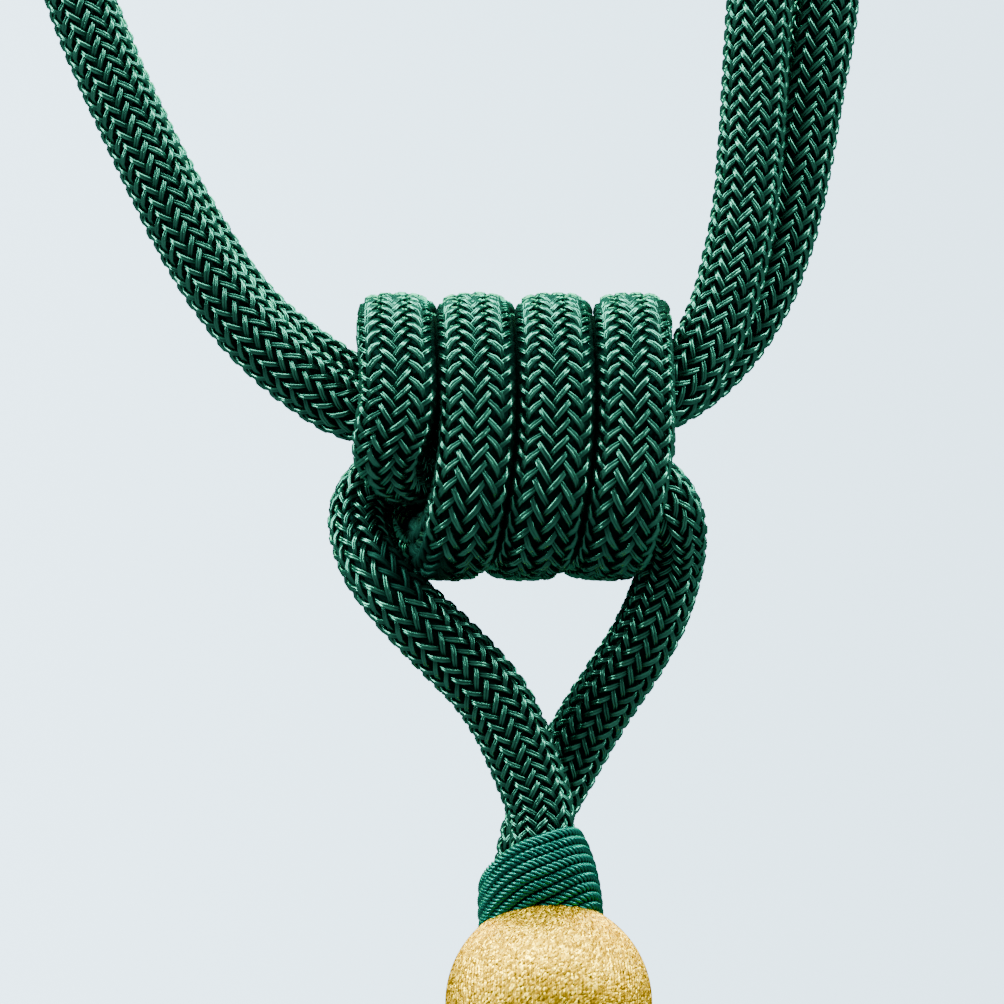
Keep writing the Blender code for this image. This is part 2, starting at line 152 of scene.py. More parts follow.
RIGHT_LEG = MM * np.array([
    (-19.3, -17.2, 2.2, 5.75), (-19.8, -15.7, -1.7, 5.6), (-18.9, -12.6, -4.6, 5.4),
    (-16.3, -9.3, -5.7, 5.3), (-12.6, -6.9, -5.8, 5.3),
    (-8.0, -5.7, -5.6, 5.3), (2.0, -5.6, -5.6, 5.3),
    (12.0, -5.6, -5.6, 5.3), (17.8, -5.5, -6.0, 5.3),
    (22.2, -5.0, -8.4, 5.3), (24.9, -3.6, -12.6, 5.3),
    (25.4, -0.5, -17.6, 5.3), (24.0, 1.4, -23.6, 5.5), (21.6, 2.4, -29.9, 5.6),
    (18.2, 3.9, -36.0, 5.6), (14.2, 6.0, -42.1, 5.6), (10.4, 8.2, -48.5, 5.6),
    (6.9, 9.4, -54.9, 5.6), (3.9, 9.4, -60.8, 5.5),
    (2.0, 8.2, -66.6, 5.3), (1.4, 6.3, -72.2, 5.3),
])

# %% [markdown]
# The wraps follow a rule, so they are worked out instead of placed by hand. Seen along the knot,
# a wrap is a square with round corners, because it lies on four strands that are stacked two by
# two. While it goes round once, it moves left by one pitch, and leans as a screw thread does.

# %% Tassel cord: the knot's wraps
WRAP_RADIUS = 5.75 * MM
CORE_OFFSET = 5.6 * MM  # from the knot's axis to a strand inside it, across and up
WRAP_CORNER = 11.7 * MM  # bend radius at the square's corners
WRAP_PITCH = 12.5 * MM
FIRST_TOP = 18.6 * MM
WRAP_LEAN_FRONT, WRAP_LEAN_BACK, WRAP_LEAN_BELOW = 2.6 * MM, 2.8 * MM, 1.4 * MM
FIRST_TURN, LAST_TURN = -0.2, 3.2
WRAP_POINTS = 69


def around_core(turns):
    """Depth and height of a wrap after some turns: a straight, a quarter circle and a straight."""
    arc = WRAP_CORNER * np.pi / 2
    quarter = np.floor(turns * 4)
    along = (turns * 4 - quarter) * (2 * CORE_OFFSET + arc)
    angle = np.clip((along - CORE_OFFSET) / WRAP_CORNER, 0.0, np.pi / 2)
    forward = np.minimum(along, CORE_OFFSET) + WRAP_CORNER * np.sin(angle)
    outward = CORE_OFFSET + WRAP_CORNER * np.cos(angle) - np.maximum(along - CORE_OFFSET - arc, 0)
    facing = quarter * np.pi / 2
    depth = -np.sin(facing) * outward - np.cos(facing) * forward
    height = np.cos(facing) * outward - np.sin(facing) * forward
    return depth, height


turns = np.linspace(FIRST_TURN, LAST_TURN, WRAP_POINTS)
lean = np.where(np.mod(turns, 1.0) < 0.5, WRAP_LEAN_FRONT, -WRAP_LEAN_BACK)
across = FIRST_TOP - WRAP_PITCH * turns + lean * np.sin(2 * np.pi * turns) ** 2
across = across + WRAP_LEAN_BELOW * np.sin(np.pi * turns) ** 2
wraps = np.column_stack([across, *around_core(turns), np.full(WRAP_POINTS, WRAP_RADIUS)])
tassel_cord_route = np.vstack([LEFT_LEG, wraps, RIGHT_LEG])
print("points in the tassel cord:", len(tassel_cord_route))

# %% Smooth curve through a route
SAMPLES = 24  # of the curve, for each span of a route


def step_lengths(points):
    """How far it is from each point to the next one."""
    return np.linalg.norm(np.diff(points, axis=0), axis=1)


def smooth_curve(route):
    """A cubic spline through the route's points, with SAMPLES steps to a span.

    Each span is a cubic in a parameter that grows with the root of the span's length. The second
    derivatives at the points come from the equations that keep the slope continuous.
    """
    width = np.sqrt(step_lengths(route[:, :3]))
    slope = np.diff(route, axis=0) / width[:, None]
    inner = np.arange(1, len(route) - 1)
    system = np.eye(len(route))
    system[inner, inner - 1] = width[:-1]
    system[inner, inner] = 2 * (width[:-1] + width[1:])
    system[inner, inner + 1] = width[1:]
    right = np.zeros_like(route)
    right[inner] = 6 * np.diff(slope, axis=0)
    bend = np.linalg.solve(system, right)
    share = np.linspace(0.0, 1.0, SAMPLES, endpoint=False)[None, :, None]
    cubic_start = ((1 - share) ** 3 - (1 - share)) * bend[:-1, None]
    cubic_end = (share ** 3 - share) * bend[1:, None]
    curve = route[:-1, None] * (1 - share) + route[1:, None] * share
    curve = curve + (cubic_start + cubic_end) * width[:, None, None] ** 2 / 6
    return np.vstack([curve.reshape(-1, route.shape[1]), route[-1:]])


def unit(vectors):
    """The vectors, each divided by its own length."""
    return vectors / np.linalg.norm(vectors, axis=-1, keepdims=True)


# %% [markdown]
# ## A moving frame along a cord
# Everything on a cord is placed by how far along it lies and which way round. For that, each point
# of the curve gets a side direction, square to the cord. On the arms and legs it points to the
# back, and in the wraps it points left, along the knot, so the braid keeps facing the same way.
# Braided cord is pushed together inside a bend and keeps its stitch length outside it. So the
# rows are counted along the outside: each step counts for its length times 1 + bend * radius.

# %% Moving frame
BACK = np.array([0.0, 1.0, 0.0])
LEFT = np.array([-1.0, 0.0, 0.0])
EVENING = 1.5 * MM  # a braid evens out changes of its bend over about this length each way


def summed(steps):
    """The running total of the steps, with a zero before the first."""
    return np.concatenate([[0.0], np.cumsum(steps)])


def halfway(values):
    """The mean of each value and the next one."""
    return (values[1:] + values[:-1]) / 2


def evened(values, length, reach):
    """The values, each averaged over its neighbours within a reach along the cord."""
    total = summed(halfway(values) * np.diff(length))
    ahead, behind = np.minimum(length + reach, length[-1]), np.maximum(length - reach, 0.0)
    return (np.interp(ahead, length, total) - np.interp(behind, length, total)) / (ahead - behind)


def follow(curve, reference, pitch, give=0.0, loose=None):
    """Per point: place, side, up, radius, pitch, how tight it is, length so far and rows so far.

    side is the reference direction less its part along the cord, and up = along x side. Where
    loose is 1, side is then turned back about the cord as much as it turned on the way there,
    which leaves the braid without twist. The rows of the braid are counted by dividing each step
    by the pitch there, after multiplying it by 1 + give * bend * radius.
    """
    place = curve[:, :3]
    steps = step_lengths(place)
    length = summed(steps)
    along = unit(np.gradient(place, length, axis=0))
    change = np.gradient(along, length, axis=0)
    bend = np.linalg.norm([evened(change[:, i], length, EVENING) for i in range(3)], axis=0)
    side = unit(reference - (reference * along).sum(1, keepdims=True) * along)
    up = np.cross(along, side)
    if loose is not None:
        turn = -untwisting(side, up, loose, length)[:, None]
        side = np.cos(turn) * side + np.sin(turn) * up
        up = np.cross(along, side)
    rows = summed(steps * halfway((1.0 + give * bend * curve[:, 3]) / pitch))
    tight = np.zeros(len(place)) if loose is None else 1.0 - loose
    return {"place": place, "side": side, "up": up, "radius": curve[:, 3], "pitch": pitch,
            "tight": tight, "length": length, "rows": rows}


def untwisting(side, up, loose, length):
    """The angle that side has turned about the cord on loose stretches, from the middle outwards.

    Each end takes up what is left to a whole number of eighths of a turn, so that the columns of
    the braid end where they began.
    """
    total = summed((np.diff(side, axis=0) * halfway(up)).sum(1) * halfway(loose))
    total = total - total[len(total) // 2]
    share = summed(np.diff(length) * halfway(loose))
    share = share - share[len(share) // 2]
    eighth = np.pi / 4
    for end in (0, -1):
        rest = np.round(total[end] / eighth) * eighth - total[end]
        total = total + rest * np.clip(share / share[end], 0.0, 1.0)
    return total


def at_rows(path, name, rows):
    """One of the path's quantities, read off at those rows."""
    values = path[name]
    if values.ndim == 1:
        return np.interp(rows, path["rows"], values)
    return np.stack([np.interp(rows, path["rows"], values[:, i]) for i in range(3)], axis=-1)


# %% Moving frame of the ring's arms
# how far from the knot along the cord, and the braid's pitch there: the pull draws it out
LEFT_PITCHES = MM * np.array([(0.0, 2.6), (45.0, 2.7), (65.0, 2.42), (95.0, 2.25), (140.0, 2.6)])
RIGHT_PITCHES = MM * np.array([(0.0, 2.42), (95.0, 2.42), (140.0, 2.6)])


def arm_path(route, pitches):
    """An arm's moving frame, with its side direction pointing to the back."""
    curve = smooth_curve(np.column_stack([route, np.full(len(route), ARM_RADIUS)]))
    length = summed(step_lengths(curve[:, :3]))
    from_knot = np.minimum(length, length[-1] - length)
    pitch = np.interp(from_knot, pitches[:, 0], pitches[:, 1])
    return follow(curve, np.tile(BACK, (len(curve), 1)), pitch)


left_arm = arm_path(left_arm_route, LEFT_PITCHES)
right_arm = arm_path(right_arm_route, RIGHT_PITCHES)

# %% Moving frame of the tassel cord
TURNS_OVER = 4  # route points over which the side direction goes from the back to the left
TASSEL_PITCHES = np.array([  # the route point's number and the pitch in mm
    (0, 2.2), (4, 2.2), (6, 2.62), (8, 2.74), (15, 2.6), (20, 3.0), (88, 3.0), (97, 2.3), (103, 2.4)])
GIVE_BELOW, GIVE_ABOVE = 0.45, 1.5  # the wraps' rows are drawn out below and pushed together above
GIVE_HEIGHT = 8.0 * MM
GIVE_AT_END = 1.3  # where the last wrap turns back into the knot, its outside keeps its pitch

tassel_curve = smooth_curve(tassel_cord_route)
place_in_route = np.arange(len(tassel_curve)) / SAMPLES
last_wrap = len(LEFT_LEG) + len(wraps)
into_wraps = (place_in_route - (len(LEFT_LEG) - 1 - TURNS_OVER)) / TURNS_OVER
out_of_wraps = (last_wrap + TURNS_OVER - place_in_route) / TURNS_OVER
in_wraps = np.clip(np.minimum(into_wraps, out_of_wraps), 0.0, 1.0)
give = np.interp(tassel_curve[:, 2], [-GIVE_HEIGHT, GIVE_HEIGHT], [GIVE_BELOW, GIVE_ABOVE])
give = in_wraps * np.where(place_in_route > last_wrap - 2, GIVE_AT_END, give)
tassel_cord = follow(
    tassel_curve, unit(BACK * (1 - in_wraps)[:, None] + LEFT * in_wraps[:, None]),
    MM * np.interp(place_in_route, TASSEL_PITCHES[:, 0], TASSEL_PITCHES[:, 1]), give, 1.0 - in_wraps)
tassel_cord["turns"] = np.interp(
    place_in_route, [len(LEFT_LEG), last_wrap - 1], [FIRST_TURN, LAST_TURN])
for name, path in (("left arm", left_arm), ("right arm", right_arm), ("tassel cord", tassel_cord)):
    print(f"{name}: {path['length'][-1] * 1000:.0f} mm")

# %% [markdown]
# ## Meshes
# Every piece here is made of many equal yarns or threads, far too many to model by hand. So each
# is worked out as whole arrays of points in rings or rows, and the faces follow from that order.
# The arrays also carry what the finishes need: a tone for each point, which also holds painted
# shade, and a map that says how far along its yarn and how far across it the point lies.

# %% Mesh from arrays


def new_piece(name, points, face_sets, finish, yarn_map, tone_and_painted_shade=None, creased=None):
    """A mesh object from arrays. Each face set has a row of corner numbers for each of its faces.

    yarn_map gives each point's place along and across its yarn, tone_and_painted_shade is one number
    for each point, a random tone with painted shade in it, and creased marks points whose shared
    edges stay sharp.
    """
    corners = np.concatenate([faces.ravel() for faces in face_sets]).astype(np.int32)
    sizes = np.concatenate([np.full(len(faces), faces.shape[1]) for faces in face_sets])
    mesh = bpy.data.meshes.new(name)
    mesh.vertices.add(len(points))
    mesh.vertices.foreach_set("co", np.ascontiguousarray(points, np.float32).ravel())
    mesh.loops.add(len(corners))
    mesh.loops.foreach_set("vertex_index", corners)
    mesh.polygons.add(len(sizes))
    mesh.polygons.foreach_set("loop_start", (np.cumsum(sizes) - sizes).astype(np.int32))
    mesh.update(calc_edges=True)
    mesh.shade_smooth()
    if creased is not None:
        ends = np.empty(2 * len(mesh.edges), np.int32)
        mesh.edges.foreach_get("vertices", ends)
        sharp = creased[ends.reshape(-1, 2)].all(axis=1)
        mesh.attributes.new("sharp_edge", "BOOLEAN", "EDGE").data.foreach_set("value", sharp)
    if tone_and_painted_shade is not None:
        mesh.attributes.new("tone_and_painted_shade", "FLOAT", "POINT").data.foreach_set("value", tone_and_painted_shade.astype(np.float32))
    flat = yarn_map[corners].astype(np.float32).ravel()
    mesh.uv_layers.new(name="yarn").uv.foreach_set("vector", flat)
    mesh.materials.append(finish)
    piece = bpy.data.objects.new(name, mesh)
    bpy.context.scene.collection.objects.link(piece)
    print(f"{name}: {int((sizes - 2).sum())} triangles")
    return piece


# %% Faces of grids and tubes
def grid_faces(rows, columns):
    """Corner numbers of the quads of a grid of points, row by row, closed across the columns."""
    row = np.arange(rows - 1)[:, None]
    column = np.arange(columns)[None, :]
    following = (column + 1) % columns
    corners = [row * columns + column, (row + 1) * columns + column,
               (row + 1) * columns + following, row * columns + following]
    return np.stack(corners, -1).reshape(-1, 4)


def tube_faces(count, rings, sides, flipped=False):
    """Walls and end caps of some equal tubes, whose points come tube by tube and ring by ring."""
    starts = rings * sides * np.arange(count)[:, None, None]
    ring = np.arange(sides)
    walls, caps = grid_faces(rings, sides), np.stack([ring, rings * sides - 1 - ring])
    if flipped:
        walls, caps = walls[:, ::-1], caps[:, ::-1]
    return (starts + walls).reshape(-1, 4), (starts + caps).reshape(-1, sides)


# %% [markdown]
# ## Colours and nodes
# A screen colour is written as a hex code, and Blender wants it linear, so one function turns it.
# Every finish below is a Principled shader fed by a few nodes, and one more function adds a node,
# sets it up and links it, so that a finish reads as a short list.

# %% Colours and nodes


def linear(code):
    """Linear red, green, blue and alpha of an sRGB hex colour such as 1C5A44."""
    values = np.array([int(code[i:i + 2], 16) for i in (0, 2, 4)]) / 255
    values = np.where(values <= 0.04045, values / 12.92, ((values + 0.055) / 1.055) ** 2.4)
    return (*values.tolist(), 1.0)


def new_finish(name):
    """A material with a Principled shader."""
    finish = bpy.data.materials.new(name)
    finish.use_nodes = True
    return finish


def add(owner, kind, inputs, **settings):
    """Adds a node. Each input is a value, or the output of another node that feeds it."""
    node = owner.node_tree.nodes.new("ShaderNode" + kind)
    for name, value in settings.items():
        setattr(node, name, value)
    for name, value in inputs.items():
        if isinstance(value, bpy.types.NodeSocket):
            owner.node_tree.links.new(value, node.inputs[name])
        else:
            node.inputs[name].default_value = value
    return node


def dress(finish, **inputs):
    """Sets the inputs of the finish's Principled shader, or links the outputs that feed them."""
    shader = finish.node_tree.nodes["Principled BSDF"]
    for name, value in inputs.items():
        socket = shader.inputs[name.replace("_", " ")]
        if isinstance(value, bpy.types.NodeSocket):
            finish.node_tree.links.new(value, socket)
        else:
            socket.default_value = value


def ramp(owner, factor, *stops):
    """A colour ramp from stops that each give a place and a hex colour."""
    node = add(owner, "ValToRGB", {"Fac": factor})
    elements = node.color_ramp.elements
    while len(elements) < len(stops):
        elements.new(0.5)
    for element, (place, code) in zip(elements, stops):
        element.position = place
        element.color = linear(code)
    return node.outputs["Color"]


# %% [markdown]
# ## Rayon yarn
# Rayon filaments lie side by side, smooth and glassy, so the yarn is dark where it turns away and
# bright along its crown. The green dye colours the gloss too, because much of the light goes
# through the outer filaments first. A clear coat's gloss would be white, and would light up the
# gaps. So most of the gloss is drawn as a metal's is, which takes the yarn's own colour and goes
# dark where that colour holds painted shade. Streaks run along the filaments, and each float has
# its own tone, with shade painted into it where the yarn lies deep or faces away.

# %% Rayon yarn
FILAMENT_BUNDLE = 0.15 * MM  # a filament is 0.02 mm; a bundle is as fine as the picture can show
FILAMENT_RUN = 2.5 * MM  # a streak is about this long
FILAMENT_RELIEF = 0.03 * MM
LUSTRE = 0.85  # of the light that comes back, this much is coloured gloss from stacked filaments
GLOSS_TINT = "5CDCB4"  # of the gloss on a yarn that turns away
RAYON_GREEN = ("001B16", "276250", "398068")  # painted shade deep in the braid, a usual yarn and a light one
DULLED = 0.6  # added to the roughness deep in the braid, where many yarns have scattered the light
BRAID_ROUGHNESS = (0.12, 0.22)
SKIRT_ROUGHNESS = (0.2, 0.3)  # its loose yarns fray a little


def filaments(finish, painted_shade_colour, middle, light):
    """Streaks along the yarn's own map tint it and raise it. Gives the colour, the tone with its painted
    shade, and the streaks.
    """
    place = add(finish, "UVMap", {}, uv_map="yarn")
    stretched = add(finish, "Mapping", {
        "Vector": place.outputs["UV"], "Scale": (1 / FILAMENT_RUN, 1 / FILAMENT_BUNDLE, 1.0)})
    streaks = add(finish, "TexNoise", {
        "Vector": stretched.outputs["Vector"], "Scale": 1.0, "Detail": 2.0}).outputs["Fac"]
    tone_and_painted_shade = add(finish, "Attribute", {}, attribute_name="tone_and_painted_shade").outputs["Fac"]
    spread = add(finish, "MapRange", {"Value": streaks, "To Min": 0.3, "To Max": 0.7})
    level = add(finish, "Math", {0: tone_and_painted_shade, 1: spread.outputs["Result"]}, operation="MULTIPLY")
    relief = add(finish, "Bump", {"Height": streaks, "Strength": 0.35, "Distance": FILAMENT_RELIEF})
    dress(finish, Normal=relief.outputs["Normal"], Specular_Tint=linear(GLOSS_TINT))
    # the ramp's first stop is painted shade, for yarn whose tone is cut down
    colour = ramp(finish, level.outputs["Value"], (0.0, painted_shade_colour), (0.5, middle), (0.8, light))
    return colour, tone_and_painted_shade, streaks


def rayon(finish, colours, roughness):
    """Rayon yarn: its gloss is a little streaky on top and much duller deep in the braid."""
    colour, tone_and_painted_shade, streaks = filaments(finish, *colours)
    gloss = add(finish, "MapRange", {"Value": streaks, "To Min": roughness[0], "To Max": roughness[1]})
    depth = add(finish, "MapRange", {"Value": tone_and_painted_shade, "From Max": 0.5, "To Min": DULLED, "To Max": 0.0})
    gloss = add(finish, "Math", {0: gloss.outputs["Result"], 1: depth.outputs["Result"]})
    dress(finish, Base_Color=colour, Roughness=gloss.outputs["Value"], Metallic=LUSTRE)


braid_finish = new_finish("Braided green rayon")
rayon(braid_finish, RAYON_GREEN, BRAID_ROUGHNESS)
skirt_finish = new_finish("Green rayon skirt yarn")
rayon(skirt_finish, RAYON_GREEN, SKIRT_ROUGHNESS)

# %% [markdown]
# ## Braided cord
# Up close the cord is a sleeve of 32 yarns, sixteen going each way round. Every yarn passes over
# two others and under two. What shows is the stretches on top, the floats, which line up in
# sixteen columns along the cord. The columns lean left and right by turns, and that makes the
# herringbone. Each yarn is two plies side by side.
# A bump map can't give the scalloped outline or the dark gaps, so every float is real geometry: a
# two-ridged strip bent to the cord, with both ends diving under its neighbours. One function works
# out all the floats of a cord at once, and a thin tube inside, painted in flat shade, closes the
# gaps.

# %% Braid: one float's form
COLUMNS = 16
YARN_WIDTH = 0.86 * MM
YARN_RISE = 0.5 * MM  # how far a yarn goes up and down between over and under
FLOAT_DEPTH = 0.42 * MM  # from the cord's surface down to the middle of a yarn on top
CORE_DEPTH = 1.55 * MM  # from the cord's surface down to the tube inside

# Along the float, in crossings: at 0.5 it lies on top of the others, at 1.5 it is under them.
FINE_STATIONS = np.array([-1.6, -1.05, -0.4, 0.4, 1.05, 1.6])
COARSE_STATIONS = np.array([-1.5, -0.6, 0.6, 1.5])
# Across the float: side and height of each corner of its section, in yarn widths.
FINE_SECTION = np.array([
    (-0.40, -0.40), (-0.50, 0.0), (-0.27, 0.42), (0.0, 0.14), (0.27, 0.42), (0.50, 0.0),
    (0.40, -0.40)])
COARSE_SECTION = np.array([(-0.52, -0.20), (-0.24, 0.36), (0.24, 0.36), (0.52, -0.20)])
FINE = (FINE_STATIONS, FINE_SECTION)
COARSE = (COARSE_STATIONS, COARSE_SECTION)  # one flat ridge, where the photograph shows no cord
UNDERSIDE = -0.35  # corners of a section lower than this are its underside, which is painted in shade
PLY_TWIST = np.radians(24.0)  # between a yarn's filaments and the yarn
PAINTED_SHADE_LEVEL = 0.15  # painted shade: how much of its colour a yarn still shows where it is deep in the braid

# %% Braid: places on a cord
WRAP_WIDTH = 12.5 / 11.5  # a wrap's width over its thickness, once it is pulled tight
WRAP_SQUARENESS = 1.3  # added to the 2 of a round section where the wraps press on each other


def on_cord(path, rows, angle, level):
    """Points at a measure along the rows, an angle round the cord and a height over its middle.

    On loose cord the section is a circle. In the knot it is a superellipse, whose radius is the
    circle's divided by (cos^n + sin^n)^(1/n), and a little wider than thick.
    """
    tight = at_rows(path, "tight", rows)
    power = 2.0 + WRAP_SQUARENESS * tight
    level = level / (np.abs(np.cos(angle)) ** power + np.abs(np.sin(angle)) ** power) ** (1 / power)
    sideways = level * (1 + (WRAP_WIDTH - 1) * tight) * np.cos(angle)
    across = sideways[..., None] * at_rows(path, "side", rows)
    across = across + (level * np.sin(angle))[..., None] * at_rows(path, "up", rows)
    return KNOT + at_rows(path, "place", rows) + across


WRAP_TURN = np.radians(7.7)  # how far the wraps' columns are turned to the right, seen from the front
FULLY_TIGHT = 0.99
INNER_SIDE = 15.5 * MM  # a wrap's surface nearer the knot's axis than this lies on the strands inside
HIDDEN_LEFT, HIDDEN_RIGHT = -10.0 * MM, 14.0 * MM  # between these, nobody sees the wraps' inside
NOOK = MM * np.array([-15.2, -9.0, -17.2])  # the deep nook under the end of the last wrap, painted in shade
NOOK_RADIUS = 7.5 * MM


def column_angle(path, rows, column):
    """The angle round the cord at which a column of the braid lies."""
    return 2 * np.pi * column / COLUMNS - WRAP_TURN * at_rows(path, "tight", rows)


def against_strands(path, rows, column):
    """Where a wrap gets painted shade, on the strands inside it or in the nook, and where it is unseen."""
    surface = on_cord(path, rows, column_angle(path, rows, column), at_rows(path, "radius", rows)) - KNOT
    from_axis = np.hypot(surface[:, 1], surface[:, 2])
    in_painted_shade = (at_rows(path, "tight", rows) > FULLY_TIGHT) & (from_axis < INNER_SIDE)
    hidden = in_painted_shade & (surface[:, 0] > HIDDEN_LEFT) & (surface[:, 0] < HIDDEN_RIGHT)
    return in_painted_shade | (np.linalg.norm(surface - NOOK, axis=1) < NOOK_RADIUS), hidden


# %% Braid: all floats between two places on a cord
# Spreads of the normal draws that make each float a little unlike the next.
ROW_SPREAD = 0.02  # of its place, in rows
WIDTH_SPREAD, ROLL_SPREAD = 0.045, 0.13  # a share of its width, and radians
LIFT_SPREAD = 0.03 * MM
YARN_TONE_SPREAD, PLY_TONE_SPREAD = 0.1, 0.05
MAP_LENGTH = 500 * MM  # a yarn's streaks start anywhere in this length, so no two yarns are alike


def floats(path, first, last, form, random):
    """The floats of the rows from the first to the last.

    A float crosses its column slantwise: for each crossing it goes 1/32 turn round the cord and
    half a row along it, up in even columns and down in odd ones. Its height over the cord's
    middle swings between over and under as a cosine of the crossing, flattened by a sine.
    The two-ridged section stands square to that line.
    """
    stations, section = form
    numbers = np.arange(np.ceil(first), np.ceil(last))
    row, column = (a.ravel() for a in np.meshgrid(numbers, np.arange(COLUMNS), indexing="ij"))
    middle = row + 0.5 * (column % 2) + random.normal(0.0, ROW_SPREAD, len(row))
    in_painted_shade, hidden = against_strands(path, middle, column)
    middle, column, in_painted_shade = middle[~hidden], column[~hidden], in_painted_shade[~hidden]

    size = (len(middle), 1, 1)
    # painted shade: floats on the strands inside the knot and in the nook are drawn dark
    painted_daylight = np.where(in_painted_shade, PAINTED_SHADE_LEVEL, 1.0).reshape(size)
    lean = np.where(column % 2 == 0, 1.0, -1.0).reshape(size)
    width = YARN_WIDTH * random.normal(1.0, WIDTH_SPREAD, size)
    roll = random.normal(0.0, ROLL_SPREAD, size)
    lift = random.normal(0.0, LIFT_SPREAD, size)
    station = stations[None, :, None]
    offset, height = section[:, 0] * width, section[:, 1] * width
    offset, height = (offset * np.cos(roll) - height * np.sin(roll),
                      offset * np.sin(roll) + height * np.cos(roll))

    middle, column = middle.reshape(size), column.reshape(size)
    radius = at_rows(path, "radius", middle) - FLOAT_DEPTH
    crossing = 2 * np.pi / (2 * COLUMNS) * radius
    pitch = at_rows(path, "pitch", middle)
    slant = np.arctan2(pitch / 2, crossing)
    swing = np.sin(np.pi / 2 * np.cos(np.pi / 2 * station))
    level = radius - YARN_RISE * (1 - swing) + height + lift
    round_cord = station * crossing - lean * offset * np.sin(slant)
    along_rows = middle + lean * station / 2 + offset * np.cos(slant) / pitch
    angle = column_angle(path, middle, column) + round_cord / radius
    points = on_cord(path, along_rows, angle, level)

    length = station * np.hypot(crossing, pitch / 2) + random.uniform(0.0, MAP_LENGTH, size)
    ply = random.normal(0.0, PLY_TONE_SPREAD, size) * np.sign(section[:, 0])
    # painted shade: a float darkens where it dives under its neighbours, and on its underside
    shade = np.clip(0.5 + 0.5 * swing, 0.0, 1.0) * np.where(section[:, 1] < UNDERSIDE, PAINTED_SHADE_LEVEL, 1.0)
    tone_and_painted_shade = (random.normal(1.0, YARN_TONE_SPREAD, size) + ply) * painted_daylight * (PAINTED_SHADE_LEVEL + (1 - PAINTED_SHADE_LEVEL) * shade)
    creased = np.broadcast_to(np.isclose(section[:, 0], 0.0), level.shape)
    yarn_map = np.stack([length + 0 * offset, offset + np.tan(PLY_TWIST) * length], -1)
    walls, caps = tube_faces(len(level), len(stations), len(section))
    return {"points": points.reshape(-1, 3), "creased": creased.ravel(), "tone_and_painted_shade": tone_and_painted_shade.ravel(),
            "yarn_map": yarn_map.reshape(-1, 2), "walls": walls, "caps": caps}


# %% Braid: the tube inside
CORE_SIDES = 16
CRUSHED = 1.75 * MM  # where wraps press on each other, the braid is crushed and its inside comes out


def pressed(path, rows, angle):
    """How hard a wrap is pressed there by the wrap beside it, from none to 1."""
    if "turns" not in path:
        return np.zeros_like(rows * angle)
    turns = at_rows(path, "turns", rows)
    beside = np.where(np.cos(angle) > 0, turns < LAST_TURN - 1, turns > FIRST_TURN + 1)
    return beside * at_rows(path, "tight", rows) * np.cos(angle) ** 4


def painted_shade_tube(points, sides):
    """A part of a piece: one tube without a map, whose zero tone paints it in flat shade, and which closes
    the gaps from inside.
    """
    walls, caps = tube_faces(1, len(points) // sides, sides, flipped=True)
    return {"points": points, "creased": np.zeros(len(points), bool), "tone_and_painted_shade": np.zeros(len(points)),
            "yarn_map": np.zeros((len(points), 2)), "walls": walls, "caps": caps}


def core_tube(path, first, last):
    """A plain tube under the braid, painted in flat shade, with a ring of points for each row and a cap at
    each end.
    """
    rows = np.linspace(first, last, int(last - first) + 1)[:, None]
    angle = np.linspace(0.0, 2 * np.pi, CORE_SIDES, endpoint=False)[None, :]
    level = at_rows(path, "radius", rows) - CORE_DEPTH + CRUSHED * pressed(path, rows, angle)
    rows, angle, level = np.broadcast_arrays(rows, angle, level)
    return painted_shade_tube(on_cord(path, rows, angle, level).reshape(-1, 3), CORE_SIDES)


# %% Braid: a length of cord
def joined_piece(name, parts, finish):
    """One mesh object from several parts that each give their points, faces and attributes."""
    starts = np.cumsum([0] + [len(part["points"]) for part in parts[:-1]])
    faces = [part[key] + start for part, start in zip(parts, starts) for key in ("walls", "caps")]
    points, yarn_map, tone_and_painted_shade, creased = (
        np.concatenate([part[key] for part in parts]) for key in ("points", "yarn_map", "tone_and_painted_shade", "creased"))
    return new_piece(name, points, faces, finish, yarn_map, tone_and_painted_shade, creased)


def braided_cord(name, path, stretches, seed):
    """One piece: the tube inside and the floats of each stretch, given as (first, last, form)."""
    random = np.random.default_rng(seed)
    parts = [core_tube(path, stretches[0][0], stretches[-1][1])]
    parts += [floats(path, first, last, form, random) for first, last, form in stretches]
    return joined_piece(name, parts, braid_finish)


# %% Ring: both arms
VIEW_TOP = 76 * MM  # above the knot; past it the arms are out of the photograph


def at_point(path, number):
    """The rows' measure at a numbered point of the path's route."""
    return path["rows"][SAMPLES * number]


def arm_stretches(path, points):
    """Fine floats where an arm shows, coarse ones inside the knot and above the picture."""
    above = np.flatnonzero(path["place"][:, 2] > VIEW_TOP)
    leaves, returns = path["rows"][above[0]], path["rows"][above[-1]]
    comes_out, goes_in, end = (at_point(path, number) for number in (1, points - 2, points - 1))
    return [(0.0, comes_out, COARSE), (comes_out, leaves, FINE), (leaves, returns, COARSE),
            (returns, goes_in, FINE), (goes_in, end, COARSE)]


ring_left = braided_cord("ring_left", left_arm, arm_stretches(left_arm, len(left_arm_route)), 1)
ring_right = braided_cord("ring_right", right_arm, arm_stretches(right_arm, len(right_arm_route)), 11)

